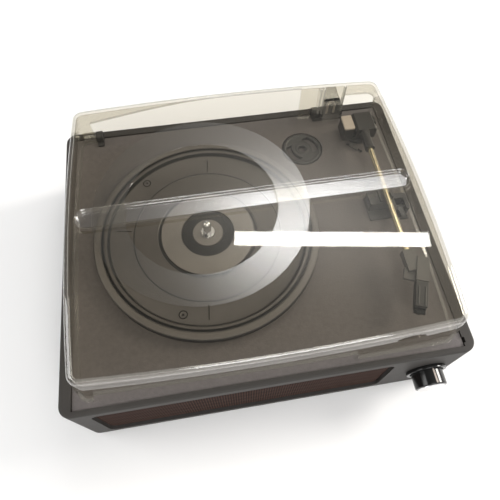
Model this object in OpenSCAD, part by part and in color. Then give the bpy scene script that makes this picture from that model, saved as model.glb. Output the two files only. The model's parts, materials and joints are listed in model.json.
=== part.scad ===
// Turntable record player: a compact cabinet with a built-in amplifier and speakers,
// a belt-driven platter, a pivoted tonearm and a hinged clear dust cover.
// Millimetres. The origin is on the floor, under the middle of the cabinet.
// +X is to the right, +Y to the back, +Z up.

/* [Cabinet] */
// Width of the cabinet, left to right
cabinet_w = 325; // [322:1:335]
// Depth of the cabinet, front to back
cabinet_d = 272; // [270:1:280]
// Height of the cabinet walls
cabinet_h = 82; // [80:1:90]
// Thickness of the cabinet walls
wall = 6; // [5:0.5:6]
// Radius of the upright corners
corner_r = 10; // [6:1:12]
// Height of the rubber feet
foot_h = 4; // [3:0.5:6]

/* [Deck and platter] */
// Depth of the deck's top face below the cabinet's rim
deck_drop = 1.5; // [1:0.5:2]
// Diameter of the platter
platter_d = 196; // [190:1:198]
// Distance of the platter's axis from the cabinet's middle, to the left
platter_left = 36.4; // [34:0.1:38]
// Height of the platter's rim above the deck
platter_rise = 10; // [9:0.5:11]
// Diameter of the record spindle
spindle_d = 7.1; // [7.0:0.05:7.2]
// Diameter of the loose adapter for large-hole records
adapter_d = 38; // [37:0.5:38.5]

/* [Tonearm] */
// Distance from the tonearm's pivot to the needle
arm_length = 199; // [197:0.5:201]
// Diameter of the tonearm's tube
arm_tube_d = 5; // [4:0.5:6]
// Angle of the cartridge to the tube
offset_angle = 21; // [18:0.5:22]

/* [Controls] */
// Diameter of the volume knob
knob_d = 26.6; // [24:0.2:28]
// Travel of the speed selector, one way
speed_travel = 3.5; // [3:0.5:4]

/* [Dust cover] */
// Height of the dust cover above the deck
cover_h = 46.3; // [45:0.1:50]
// Thickness of the clear sheet
cover_t = 2.5; // [2:0.1:3]
// Width of the groove across the cover's top
groove_w = 18; // [14:1:20]
// Depth of the groove
groove_depth = 4; // [2.5:0.5:5]

/* [Hidden] */
$fn = 96;

// Levels
floor_z = foot_h;                       // underside of the cabinet
rim_z = foot_h + cabinet_h;             // top of the cabinet's rim
deck_z = rim_z - deck_drop;             // top of the deck plate
deck_t = 2.5;
ledge_z = deck_z - deck_t;              // ledge that the deck plate lies on
ledge_t = 4;
platter_z = deck_z + platter_rise;      // top of the platter's rim
well_z = deck_z - 8.5;                  // floor of the well under the platter

// Cabinet outline and deck opening
half_w = cabinet_w / 2;
half_d = cabinet_d / 2;
front_y = -half_d;
back_y = half_d;
deck_half_w = 153;                      // half the width of the rebate for the deck
deck_front = -131.5;
deck_back = 128;
ledge_w = 8;

// Platter drive
platter_r = platter_d / 2;
px = -platter_left;                     // platter axis
py = 0.5;
spindle_r = spindle_d / 2;
axle_r = spindle_r - 0.05;              // its lower part, which the platter turns on
hub_z = platter_z - 3.5;                // top of the platter's hub
well_r = 92;
belt_ring_r = 72;
pulley_r = 5;
pulley_reach = 81;
pulley_angle = 140;
mx = px + pulley_reach * cos(pulley_angle);
my = py + pulley_reach * sin(pulley_angle);
belt_gap = 0.35;
belt_t = 1;
belt_z = well_z + 3.5;
belt_h = 5;
motor_top = well_z - 7;
motor_h = 22;

port_places = [[79, 129.1], [77.4, -111.5]];   // belt ports in the platter: [radius, angle]

// Adapter recess
ax = 67;
ay = 85;
recess_r = 20.2;
recess_depth = 3.5;

// Tonearm
tx = 126.4;                             // vertical pivot
ty = 96;
arm_z = platter_z + 7.5;                // middle of the tube
axle_z = arm_z - 2;
tube_r = arm_tube_d / 2;
yaw_z = deck_z + 4.8;                   // underside of the turning housing
head_rear = -50;
needle_y = ty - arm_length;
needle_x = 119.5;
block_w = 10;

// Controls
kx = 132.3;                             // volume knob
kz = 44;
knob_r = knob_d / 2;
bezel_t = 3;
selector = [118.6, 79];                 // middle of the speed selector's slot
selector_angle = -47;

// Speakers
speaker_x = [-98, 46];
speaker_z = 44;
baffle_y = front_y + wall;              // front face of the baffle
baffle_t = 5;
grille_x0 = -142;
grille_x1 = 97;
grille_z0 = floor_z + 6;
grille_z1 = rim_z - 9;

// Dust cover: outline at the foot and at the top, [half width, back, front, bulge]
cover_z0 = deck_z + 0.2;
cover_z1 = deck_z + cover_h;
foot_line = [148.3, 125.0, -126.5, 3.5, 1.5];
top_line = [143.0, 121.6, -124.2, 4.2, 4.2];
edge_r = 3.5;                           // rounding of the cover's top edge
hinge_y = 126;
hinge_z = deck_z + 6;
pin_r = 1.5;
knuckle_r = 4.5;
right_x = 102.6;                        // middle of the right hinge
leaf_half = 8.6;
leaf_top = deck_z + 24;
base_x = [85, 116.5];                   // ends of the right hinge's base
rib_x = [88, 91.4, 111.8];              // left faces of the ribs beside the right hinge

// ---------- shapes that repeat ----------

// A block between two corners
module block(x0, x1, y0, y1, z0, z1) {
    translate([x0, y0, z0]) cube([x1 - x0, y1 - y0, z1 - z0]);
}

// A block with round upright corners
module round_block(x0, x1, y0, y1, z0, z1, r) {
    block(x0 + r, x1 - r, y0, y1, z0, z1);
    block(x0, x1, y0 + r, y1 - r, z0, z1);
    for (x = [x0 + r, x1 - r], y = [y0 + r, y1 - r])
        translate([x, y, z0]) cylinder(r = r, h = z1 - z0);
}

// A side wall's outline, from its foot up round its top edge: [distance in from the side, height]
function edge(z0, z1, f) =
    concat([[0, z0]], [for (t = [0 : 15 : 90]) [f - f * cos(t), z1 - f + f * sin(t)]]);

// The same block, with its top edge rounded by f
module pillow_block(x0, x1, y0, y1, z0, z1, r, f) {
    side = edge(z0, z1, f);
    n = len(side) - 1;
    translate([x0 + r, 0, 0]) rotate([90, 0, 90]) linear_extrude(x1 - x0 - 2 * r)
        polygon(concat([for (p = side) [y1 - p[0], p[1]]],
                       [for (i = [n : -1 : 0]) [y0 + side[i][0], side[i][1]]]));
    translate([0, y1 - r, 0]) rotate([90, 0, 0]) linear_extrude(y1 - y0 - 2 * r)
        polygon(concat([for (p = side) [x1 - p[0], p[1]]],
                       [for (i = [n : -1 : 0]) [x0 + side[i][0], side[i][1]]]));
    for (x = [x0 + r, x1 - r], y = [y0 + r, y1 - r]) translate([x, y, 0]) rotate_extrude()
        polygon(concat([[0, z0]], [for (p = side) [r - p[0], p[1]]], [[0, z1]]));
}

// Round bars along each axis
module bar_x(r, x0, x1, y, z) { translate([x0, y, z]) rotate([0, 90, 0]) cylinder(r = r, h = x1 - x0); }
module bar_y(r, y0, y1, x, z) { translate([x, y0, z]) rotate([-90, 0, 0]) cylinder(r = r, h = y1 - y0); }
module bar_z(r, z0, z1, x, y) { translate([x, y, z0]) cylinder(r = r, h = z1 - z0); }

// A flat ring about Z
module ring(r0, r1, z0, z1, x = 0, y = 0) {
    difference() {
        bar_z(r1, z0, z1, x, y);
        bar_z(r0, z0 - 1, z1 + 1, x, y);
    }
}

// A bar with round ends, along X, as a flat shape
module stadium(length, width) {
    square([length - width, width], center = true);
    for (s = [-1, 1]) translate([s * (length - width) / 2, 0]) circle(d = width);
}

// A screw that points up from z, with its head below
module screw_up(x, y, z, length, r = 1.5) {
    difference() {
        bar_z(2 * r, z - 1.4, z, x, y);
        translate([x, y, z - 2]) for (a = [0, 90]) rotate(a) translate([-1.6, -0.3, 0]) cube([3.2, 0.6, 1.4]);
    }
    bar_z(r, z, z + length, x, y);
}

// A screw that points along -Y from y, with its head behind
module screw_forward(x, z, y, length, r = 1.3) {
    bar_y(2 * r, y, y + 1.3, x, z);
    bar_y(r, y - length, y, x, z);
}

// ---------- cabinet ----------

corner_posts = [for (sx = [-1, 1], sy = [-1, 1]) [sx * (half_w - wall - 4.5), sy * (half_d - wall - 4.5)]];
feet = [for (sx = [-1, 1], sy = [-1, 1]) [sx * 132, sy * 108]];

module cabinet() color([0.24, 0.23, 0.21]) difference() {
    union() {
        difference() {
            pillow_block(-half_w, half_w, front_y, back_y, floor_z, rim_z, corner_r, 2);
            block(-half_w + wall, half_w - wall, front_y + wall, back_y - wall, floor_z - 1,
                  ledge_z - ledge_t);
        }
        for (p = corner_posts)
            block(p[0] - 5, p[0] + 5, p[1] - 5, p[1] + 5, floor_z + 3, ledge_z - ledge_t + 1);
    }
    block(-deck_half_w, deck_half_w, deck_front, deck_back, ledge_z, rim_z + 1);
    block(-deck_half_w + ledge_w, deck_half_w - ledge_w, deck_front + ledge_w, deck_back - ledge_w,
          ledge_z - ledge_t - 1, rim_z + 1);
    // speaker opening, knob hole and rear opening
    translate([0, front_y - 1, 0]) rotate([-90, 0, 0]) linear_extrude(wall + 2)
        grille_outline(0);
    bar_y(4.2, front_y - 1, front_y + wall + 1, kx, kz);
    block(-40, 60, back_y - wall - 1, back_y + 1, 22, 56);
    // notch in the rim beside the cover's right front corner
    block(152.6, 154.6, -128.6, -124, ledge_z, rim_z + 1);
    for (p = corner_posts) bar_z(1.6, floor_z, floor_z + 16, p[0], p[1]);
    for (x = [-1, 1], y = [-1, 1]) bar_z(1.5, ledge_z - 9, ledge_z + 1, x * 149, y * 60);
}

// Outline of the grille opening, drawn on the front with -Z as its second axis
module grille_outline(inset) {
    r = 7 - inset;
    translate([(grille_x0 + grille_x1) / 2, -(grille_z0 + grille_z1) / 2]) union() {
        w = grille_x1 - grille_x0 - 2 * inset;
        h = grille_z1 - grille_z0 - 2 * inset;
        square([w - 2 * r, h], center = true);
        square([w, h - 2 * r], center = true);
        for (sx = [-1, 1], sy = [-1, 1]) translate([sx * (w / 2 - r), sy * (h / 2 - r)]) circle(r = r);
    }
}

module bottom_plate() color([0.1, 0.1, 0.1]) difference() {
    block(-half_w + wall + 0.4, half_w - wall - 0.4, front_y + wall + 0.4, back_y - wall - 0.4,
          floor_z, floor_z + 2.8);
    for (p = corner_posts) bar_z(1.7, floor_z - 1, floor_z + 4, p[0], p[1]);
    for (p = feet) bar_z(2.6, floor_z - 1, floor_z + 4, p[0], p[1]);
    for (i = [-5 : 5], y = [-70, 70]) translate([i * 9, y, floor_z - 1]) rotate(90)
        linear_extrude(5) stadium(26, 3.5);
}

module rubber_feet() color([0.06, 0.06, 0.06]) for (p = feet) translate([p[0], p[1], 0]) {
    rotate_extrude() polygon([[0, 0], [8.6, 0], [9.6, 0.8], [10.5, foot_h], [0, foot_h]]);
    bar_z(2.5, foot_h, foot_h + 4, 0, 0);
}

module bottom_screws() color([0.6, 0.6, 0.62]) for (p = corner_posts) screw_up(p[0], p[1], floor_z, 14);

// ---------- speakers ----------

module speaker_baffle() color([0.45, 0.35, 0.25]) difference() {
    block(grille_x0 - 4.5, grille_x1 + 6, baffle_y + 0.1, baffle_y + baffle_t, floor_z + 3.2,
          ledge_z - ledge_t - 0.4);
    for (x = speaker_x) bar_y(26, baffle_y - 1, baffle_y + baffle_t + 1, x, speaker_z);
    for (x = speaker_x, sx = [-1, 1], sz = [-1, 1])
        bar_y(1.4, baffle_y + 1, baffle_y + baffle_t + 1, x + sx * 23, speaker_z + sz * 23);
}

module front_grille() color([0.32, 0.22, 0.18])
    translate([0, front_y + 2.2, 0]) rotate([-90, 0, 0]) linear_extrude(1.4) grille_outline(0.25);

// Puts a speaker's part behind the baffle, its axis along Y
module at_speaker(x) translate([x, baffle_y + baffle_t, speaker_z]) rotate([-90, 0, 0]) children();

// Square flange, basket and rear ring
module speaker_frame(x) color([0.2, 0.2, 0.22]) at_speaker(x) {
    linear_extrude(2) difference() {
        square(60, center = true);
        circle(r = 25.5);
        for (sx = [-1, 1], sz = [-1, 1]) translate([sx * 23, sz * 23]) circle(r = 1.45);
    }
    difference() {
        rotate_extrude()
            polygon([[26, 2], [27.5, 2], [17.5, 18], [17.5, 20], [10.2, 20], [10.2, 18.5], [15.8, 18.5]]);
        for (a = [0, 60, 120]) rotate(a + 30) translate([-40, -5, 4]) cube([80, 10, 11]);
    }
}

module speaker_cone(x) color([0.08, 0.08, 0.08]) at_speaker(x)
    rotate_extrude() polygon([[0, 3], [4, 4], [8, 7], [9.5, 13.5], [22, 1.2], [24, 0.2], [25.3, 0.6],
                              [25.3, 1.3], [24, 1], [22.3, 2.2], [10, 15.6], [9.6, 21], [8.8, 21],
                              [8.8, 14.4], [7.2, 8], [4, 5.2], [0, 4.2]]);

module speaker_magnet(x) color([0.35, 0.35, 0.37]) at_speaker(x)
    difference() {
        rotate_extrude() polygon([[0, 20.2], [17, 20.2], [20, 22], [20, 32], [16, 34.5], [0, 34.5]]);
        translate([0, 0, 19]) difference() {
            cylinder(r = 10.1, h = 8);
            translate([0, 0, -1]) cylinder(r = 8.3, h = 10);
        }
    }

module speaker_screws() color([0.6, 0.6, 0.62]) for (x = speaker_x, sx = [-1, 1], sz = [-1, 1])
    screw_forward(x + sx * 23, speaker_z + sz * 23, baffle_y + baffle_t + 2, 5.5);

// ---------- volume control and amplifier ----------

module knob_bezel() color([0.05, 0.05, 0.05]) difference() {
    bar_y(17, front_y - bezel_t, front_y, kx, kz);
    bar_y(14.4, front_y - bezel_t - 1, front_y - 0.8, kx, kz);
    bar_y(4.2, front_y - bezel_t - 1, front_y + 1, kx, kz);
}

knob_front = front_y - 15.6;
module volume_knob() color([0.03, 0.03, 0.03]) translate([kx, 0, kz]) difference() {
    union() {
        bar_y(knob_r, knob_front + 1, front_y - 1.6, 0, 0);
        translate([0, knob_front + 1, 0]) rotate([-90, 0, 0])
            rotate_extrude() translate([knob_r - 1, 0]) circle(r = 1, $fn = 32);
        bar_y(knob_r - 1, knob_front, knob_front + 2, 0, 0);
    }
    bar_y(3.02, knob_front + 3, front_y, 0, 0);
    bar_y(11.5, knob_front - 1, knob_front + 0.8, 0, 0);
    rotate([0, 6, 0]) block(-0.8, 0.8, knob_front + 0.9, front_y - 3, knob_r - 0.7, knob_r + 1);
}

module knob_pointer() color([0.62, 0.62, 0.66]) translate([kx, 0, kz]) rotate([0, 6, 0])
    block(-0.75, 0.75, knob_front + 1, front_y - 3.1, knob_r - 0.7, knob_r - 0.05);

module knob_cap() color([0.8, 0.8, 0.82]) translate([kx, knob_front, kz]) rotate([90, 0, 0])
    rotate_extrude() polygon([[0, -0.8], [11.4, -0.8], [11.4, 0.2], [10.8, 0.7], [0, 1.1]]);

module knob_shaft() color([0.75, 0.75, 0.76]) bar_y(3, knob_front + 3.1, front_y + 26, kx, kz);

module volume_pot() color([0.3, 0.33, 0.3]) difference() {
    union() {
        bar_y(4, front_y + 0.3, front_y + wall + 3, kx, kz);
        block(kx - 8.5, kx + 8.5, front_y + wall + 3, front_y + wall + 11, kz - 9, kz + 8.5);
        difference() {
            bar_y(6.5, front_y + wall, front_y + wall + 2.4, kx, kz);
            bar_y(3.9, front_y + wall - 1, front_y + wall + 3, kx, kz);
        }
    }
    bar_y(3.05, front_y - 1, front_y + 27, kx, kz);
}

module amplifier_board() {
    board_y = front_y + wall + 11;
    color([0.1, 0.35, 0.18]) difference() {
        block(kx - 27.8, kx + 13.7, board_y, board_y + 1.6, 14, 72);
        bar_y(4, board_y - 1, board_y + 3, kx, kz);
    }
    color([0.1, 0.1, 0.1]) block(kx - 24, kx - 12, board_y + 1.6, board_y + 4, 55, 68);
    color([0.7, 0.7, 0.72]) for (i = [0 : 5])
        block(kx - 8, kx + 6, board_y + 1.6, board_y + 12, 55 + 2.4 * i, 56 + 2.4 * i);
    color([0.7, 0.7, 0.72]) block(kx - 8, kx + 6, board_y + 1.6, board_y + 3.2, 55, 68);
    color([0.12, 0.12, 0.3]) for (x = [-22, -10, 2]) bar_y(4, board_y + 1.6, board_y + 13, kx + x, 24);
}

// ---------- rear jacks ----------

jack_z = 39;
module rear_jack_panel() color([0.08, 0.08, 0.08]) difference() {
    union() {
        block(-39.6, 59.6, back_y - 2.4, back_y - 0.4, 22.4, 55.6);
        for (x = [-39.6, 55.6]) block(x, x + 4, back_y - wall - 3, back_y - 2.4, 24, 54);
    }
    for (x = [-24, -8]) bar_y(5.1, back_y - 4, back_y + 1, x, jack_z);
    bar_y(4.1, back_y - 4, back_y + 1, 16, jack_z);
    bar_y(5.6, back_y - 4, back_y + 1, 40, jack_z);
}

module rca_jacks() color([0.85, 0.85, 0.85]) for (x = [-24, -8]) difference() {
    union() {
        bar_y(5, back_y - 10, back_y - 1.4, x, jack_z);
        bar_y(4.15, back_y - 1.4, back_y + 5, x, jack_z);
    }
    bar_y(1.7, back_y - 4, back_y + 6, x, jack_z);
}

module aux_jack() color([0.1, 0.1, 0.1]) difference() {
    union() {
        bar_y(4, back_y - 2.6, back_y + 0.6, 16, jack_z);
        block(10, 22, back_y - 14, back_y - 2.6, jack_z - 5, jack_z + 5);
    }
    bar_y(1.8, back_y - 13, back_y + 2, 16, jack_z);
}

module dc_jack() color([0.07, 0.07, 0.07]) {
    difference() {
        union() {
            bar_y(5.5, back_y - 2.6, back_y + 0.6, 40, jack_z);
            block(33, 47, back_y - 15, back_y - 2.6, jack_z - 6, jack_z + 6);
        }
        bar_y(2.9, back_y - 11, back_y + 2, 40, jack_z);
    }
    bar_y(1.05, back_y - 12, back_y - 0.8, 40, jack_z);
}

// ---------- deck ----------

module deck_plate() color([0.29, 0.29, 0.28]) difference() {
    union() {
        difference() {
            block(-deck_half_w + 0.4, deck_half_w - 0.4, deck_front + 0.4, deck_back - 0.4, ledge_z, deck_z);
            bar_z(well_r, ledge_z - 1, deck_z + 1, px, py);
        }
        difference() {
            bar_z(well_r + 2.4, well_z - 2.4, ledge_z + 1, px, py);
            bar_z(well_r, well_z, deck_z + 1, px, py);
        }
        bar_z(recess_r + 2.2, deck_z - recess_depth - 2, deck_z - 1, ax, ay);
    }
    bar_z(recess_r, deck_z - recess_depth, deck_z + 1, ax, ay);
    bar_z(axle_r + 0.03, well_z - 5, well_z + 5, px, py);
    bar_z(9, well_z - 5, well_z + 5, mx, my);
    bar_z(5, ledge_z - 1, deck_z + 1, tx, ty);
    translate([selector[0], selector[1], ledge_z - 1]) rotate(selector_angle) linear_extrude(5)
        stadium(12 + 2 * speed_travel, 3.4);
    for (x = [-1, 1], y = [-1, 1]) bar_z(1.2, ledge_z - 1, deck_z - 0.8, x * 149, y * 60);
    bar_z(1.6, ledge_z - 1, deck_z + 1, 118, 29);
}

module deck_screws() color([0.6, 0.6, 0.62]) for (x = [-1, 1], y = [-1, 1])
    screw_up(x * 149, y * 60, ledge_z - ledge_t, ledge_t + 1.5, 1.15);

module adapter_45() color([0.31, 0.31, 0.3]) translate([ax, ay, deck_z - recess_depth]) difference() {
    rotate_extrude() polygon([[3.65, 0], [adapter_d / 2, 0], [adapter_d / 2, 3.2], [adapter_d / 2 - 1, 4.2],
                              [adapter_d / 2 - 2.4, 4.2], [adapter_d / 2 - 3, 3.6], [6.8, 3.6], [6.2, 4.4],
                              [4.4, 4.4], [3.65, 3.8]]);
    // two crescent finger openings
    for (a = [25, 205]) rotate(a) translate([0, 0, -1]) linear_extrude(7) intersection() {
        difference() {
            circle(r = adapter_d / 2 - 3.4);
            translate([-5.2, 0]) circle(r = adapter_d / 2 - 4.2);
        }
        translate([0, -9.5]) square([20, 19]);
    }
}

// ---------- platter and its drive ----------

module platter() color([0.3, 0.3, 0.29]) translate([px, py, 0]) difference() {
    t = 2.6;
    top = platter_z;
    low = hub_z - 1.4;
    rotate_extrude($fn = 128) polygon([
        [6.02, well_z + 2], [6.02, hub_z], [13, hub_z], [13.5, low], [22.8, low], [23.3, hub_z],
        [40.6, hub_z], [41.2, low], [43.4, low], [44, low + 0.4], [63.6, low + 0.4], [64, low + 0.8],
        [64.6, low + 0.8], [65, low + 0.4], [83.4, low + 0.4], [85.2, low + 0.9], [86.4, top - 1.3],
        [87.2, top - 0.8], [89.4, top - 0.8], [90, top - 1.7], [91, top - 1.7], [91.6, top - 0.2],
        [92.2, top], [platter_r - 2.2, top], [platter_r - 1, top - 0.3], [platter_r, top - 1.4],
        [platter_r, top - 6.8], [platter_r - 0.8, top - 7.6], [platter_r - 3, top - 7.6],
        [platter_r - 3, low - t + 0.4], [belt_ring_r + 1.6, low - t],
        [belt_ring_r + 1.2, belt_z + belt_h + 1.2],
        [belt_ring_r, belt_z + belt_h + 0.8], [belt_ring_r, belt_z - 0.6], [belt_ring_r - 2.4, belt_z - 0.6],
        [belt_ring_r - 2.4, low - t], [11, low - t], [11, well_z + 2]]);
    // two belt ports in ring-shaped grooves, and four tick grooves, in the floor
    for (p = port_places) rotate(p[1]) translate([p[0], 0, low]) {
        translate([0, 0, -5]) cylinder(r = 1, h = 9);
        difference() {
            cylinder(r = 3.7, h = 2);
            translate([0, 0, -1]) cylinder(r = 2.9, h = 4);
        }
    }
    for (a = [84, -96, 170, -10]) rotate(a) translate([67, -0.4, low]) cube([13, 0.8, 1]);
}

module platter_bush() color([0.75, 0.6, 0.3]) ring(axle_r + 0.05, 6, well_z + 2, hub_z - 0.1, px, py);

module thrust_washer() color([0.9, 0.9, 0.86]) ring(axle_r + 0.05, 8, well_z, well_z + 1.9, px, py);

module spindle() color([0.8, 0.8, 0.82]) translate([px, py, 0]) difference() {
    union() {
        cylinder(r = axle_r, h = hub_z + 1.5);
        translate([0, 0, hub_z + 1.2]) cylinder(r = spindle_r, h = platter_z + 9.9 - hub_z - 1.2);
        translate([0, 0, platter_z + 9.9]) sphere(r = spindle_r);
    }
    translate([0, 0, -1]) cylinder(r = 10, h = well_z - 8);
    difference() {
        translate([0, 0, hub_z + 0.2]) cylinder(r = 5, h = 1);
        translate([0, 0, hub_z]) cylinder(r = 3, h = 2);
    }
}

module spindle_nut() color([0.6, 0.6, 0.62]) difference() {
    translate([px, py, well_z - 7]) cylinder(r = 7.5, h = 4.5, $fn = 6);
    bar_z(axle_r + 0.05, well_z - 8, well_z, px, py);
}

module spindle_clip() color([0.2, 0.2, 0.2]) difference() {
    ring(3.05, 6, hub_z + 0.25, hub_z + 1.15, px, py);
    translate([px, py, hub_z]) rotate(250) translate([0, -2, -1]) cube([8, 4, 4]);
}

// Outline of a belt round both pulleys, grown by g: an arc at each end and straight runs between them
function belt_points(g) =
    let (r1 = belt_ring_r + g, r2 = pulley_r + g, a = acos((r1 - r2) / pulley_reach))
    concat([for (i = [0 : 60]) let (v = a + (360 - 2 * a) * i / 60) [r1 * cos(v), r1 * sin(v)]],
           [for (i = [0 : 24]) let (v = -a + 2 * a * i / 24) [pulley_reach + r2 * cos(v), r2 * sin(v)]]);

module drive_belt() color([0.05, 0.05, 0.05]) translate([px, py, belt_z]) rotate(pulley_angle)
    linear_extrude(belt_h) difference() {
        polygon(belt_points(belt_gap + belt_t));
        polygon(belt_points(belt_gap));
    }

module motor() color([0.7, 0.7, 0.72]) difference() {
    union() {
        bar_z(16.5, motor_top - motor_h, motor_top, mx, my);
        bar_z(4, motor_top, motor_top + 2.5, mx, my);
    }
    bar_z(1.05, motor_top - motor_h + 2, motor_top + 3, mx, my);
}

module motor_bracket() color([0.55, 0.55, 0.56]) difference() {
    bar_z(25, motor_top, motor_top + 1.5, mx, my);
    bar_z(4.2, motor_top - 1, motor_top + 2, mx, my);
    for (a = [20, 140, 260]) translate([mx, my, 0]) rotate(a) bar_z(2, motor_top - 1, motor_top + 3, 20, 0);
}

module motor_grommets() color([0.1, 0.1, 0.1]) for (a = [20, 140, 260]) translate([mx, my, 0]) rotate(a)
    ring(1.9, 4.2, motor_top + 1.5, well_z - 2.4, 20, 0);

module motor_shaft() color([0.8, 0.8, 0.82]) bar_z(1, motor_top - motor_h + 4, belt_z + belt_h + 1, mx, my);

module motor_pulley() color([0.75, 0.6, 0.3]) translate([mx, my, 0]) rotate_extrude() polygon([
    [1.02, belt_z - 2.5], [6.4, belt_z - 2.5], [6.4, belt_z - 1], [pulley_r, belt_z - 0.4],
    [pulley_r, belt_z + belt_h + 0.4], [5.6, belt_z + belt_h + 1], [1.02, belt_z + belt_h + 1]]);

// ---------- tonearm ----------

module tonearm_base() color([0.13, 0.13, 0.13]) difference() {
    union() {
        translate([tx, ty, deck_z])
            rotate_extrude() polygon([[0, 0], [13.5, 0], [13.5, 3], [12.5, 4], [0, 4]]);
        bar_z(8, deck_z, deck_z + 4.5, tx, ty);
        bar_z(4.9, deck_z - 9, deck_z + 1, tx, ty);
    }
    bar_z(3.05, deck_z - 10, deck_z + 6, tx, ty);
}

// Turning housing with a wide left post and a thin right cheek
module tonearm_housing() color([0.12, 0.12, 0.12]) difference() {
    union() {
        round_block(107.5, 141.4, 85, 104.5, yaw_z, yaw_z + 3.4, 2);
        round_block(107.5, 118.6, 85.5, 103.5, yaw_z, arm_z + 1.2, 1.5);
        round_block(139.3, 141.4, 91.5, 100.5, yaw_z, arm_z + 1.2, 1);
    }
    bar_x(1.52, 109, 144, ty, axle_z);
    bar_z(3.01, yaw_z - 1, yaw_z + 2.6, tx, ty);
}

// Light snap-in cover over the left post
module pivot_cap() color([0.62, 0.57, 0.52])
    pillow_block(107.8, 118.3, 85.8, 103.2, arm_z + 1.25, arm_z + 3, 1.6, 0.6);

module pivot_shaft() color([0.75, 0.75, 0.76]) bar_z(3, deck_z - 8, yaw_z + 2.6, tx, ty);

module pitch_axle() color([0.75, 0.75, 0.76]) bar_x(1.5, 109.4, 141.2, ty, axle_z);

// Block that tips on the axle between the housing's cheeks: one cross-section, pushed forward from its back
module tonearm_carrier() color([0.14, 0.12, 0.12]) difference() {
    translate([0, 104, 0]) rotate([90, 0, 0]) linear_extrude(22)
        polygon([[119.2, arm_z - 6.2], [138.8, arm_z - 6.2], [138.8, arm_z + 2.2], [137.3, arm_z + 4],
                 [120.7, arm_z + 4], [119.2, arm_z + 2.2]]);
    bar_x(1.55, 118, 141, ty, axle_z);
    bar_y(tube_r + 0.02, 81, ty - 2, tx, arm_z);
    block(123, 136, 99.5, 105, arm_z - 4.2, arm_z + 1.8);
}

module counterweight() color([0.5, 0.5, 0.52]) block(123, 136, 99.5, 103.8, arm_z - 4.2, arm_z + 1.8);

module tonearm_sleeve() color([0.25, 0.25, 0.25]) difference() {
    union() {
        bar_y(4.4, 61, 81.9, tx, arm_z);
        bar_y(5, 78.5, 81.9, tx, arm_z);
        bar_y(4.8, 61, 63, tx, arm_z);
    }
    bar_y(tube_r + 0.02, 60, 83, tx, arm_z);
}

module tonearm_tube() color([0.86, 0.78, 0.55]) difference() {
    bar_y(tube_r, head_rear - 12, ty - 3, tx, arm_z);
    bar_y(tube_r - 0.6, head_rear - 13, ty - 2, tx, arm_z);
}

// Places things along the cartridge's own axis, from the needle back
module cartridge_frame() translate([needle_x, needle_y, 0]) rotate(-offset_angle) children();

// The headshell: a neck round the tube and the rear half of the offset block
module headshell() color([0.42, 0.41, 0.4]) difference() {
    union() {
        block(tx - 5.4, tx + 5.2, head_rear - 19, head_rear, arm_z - 3.6, arm_z + 4);
        cartridge_frame() block(-block_w / 2, block_w / 2, 25, 47, arm_z - 2, arm_z + 5);
        cartridge_frame() block(-14, 2, 26, 36, arm_z - 2, arm_z + 1);
    }
    bar_y(tube_r + 0.02, head_rear - 12.1, head_rear + 1, tx, arm_z);
    cartridge_frame() translate([0, 31, arm_z - 3]) cylinder(r = 1.1, h = 4);
}

// Cartridge body, with a tongue under the headshell and two ridges on top
module cartridge() color([0.2, 0.2, 0.21]) cartridge_frame() {
    block(-block_w / 2 + 0.1, block_w / 2 - 0.1, 3, 24.8, arm_z - 3.2, arm_z + 4.6);
    block(-block_w / 2 + 1, block_w / 2 - 1, 24.8, 33, arm_z - 3.2, arm_z - 2.1);
    for (s = [-1, 1]) translate([s * 2.6, 12, arm_z + 4.6]) block(-0.5, 0.5, -8, 8, 0, 0.5);
}

module stylus() color([0.05, 0.05, 0.05]) cartridge_frame() {
    difference() {
        union() {
            translate([0, 2.9, arm_z - 3.2]) cylinder(r = 4.6, h = 3.6);
            block(-4.6, 4.6, -1.2, 2.9, arm_z - 2.6, arm_z - 0.6);
        }
        block(-6, 6, 2.95, 9, arm_z - 4, arm_z + 2);
    }
    bar_y(0.35, 0, 2.9, 0, arm_z - 3.4);
    translate([0, 0.3, arm_z - 4.2]) cylinder(r1 = 0.15, r2 = 0.35, h = 1, $fn = 16);
}

// ---------- arm rest and cueing ----------

module arm_rest() color([0.12, 0.12, 0.12]) difference() {
    union() {
        round_block(111.5, 130, 2.5, 17.5, deck_z, arm_z - 5, 1.2);
        round_block(131, 145.5, -6, 11, deck_z, arm_z - 5, 1.2);
        round_block(111, 146, -7, 18, deck_z, deck_z + 2, 1.2);
        block(129.3, 131.4, 4, 10, arm_z - 6, arm_z + 2.6);
        block(120.6, 122.8, 4, 16, arm_z - 6, arm_z - 2.8);
    }
    // slot and pin bore for the cue lever
    block(134, 142.5, -8, 6, deck_z + 2.2, arm_z);
    bar_x(1.25, 132, 144.5, -1, deck_z + 8);
}

module cue_lever() color([0.05, 0.05, 0.05]) {
    bar_x(1.2, 132.2, 144.3, -1, deck_z + 8);
    bar_x(3, 134.4, 142.1, -1, deck_z + 8);
    block(136, 140.5, -13, -1, deck_z + 8.2, deck_z + 10.4);
    bar_x(1.5, 135.2, 141.3, -13.2, deck_z + 9.3);
}

// Arc-shaped bar that lifts the tube, on its own post
module lift_bar() color([0.1, 0.1, 0.1]) {
    difference() {
        ring(67.4, 69.6, arm_z - 5, arm_z - tube_r - 0.3, tx, ty);
        translate([tx, ty, arm_z - 6]) rotate(-87) cube([80, 80, 8]);
        translate([tx, ty, arm_z - 6]) rotate(93) cube([80, 80, 8]);
        translate([tx, ty, arm_z - 6]) rotate(3) cube([80, 80, 8]);
        translate([tx, ty, arm_z - 6]) rotate(152) cube([80, 80, 8]);
    }
    bar_z(1.55, ledge_z - 6, arm_z - 4.6, 118, 29);
}

// ---------- speed selector ----------

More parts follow.
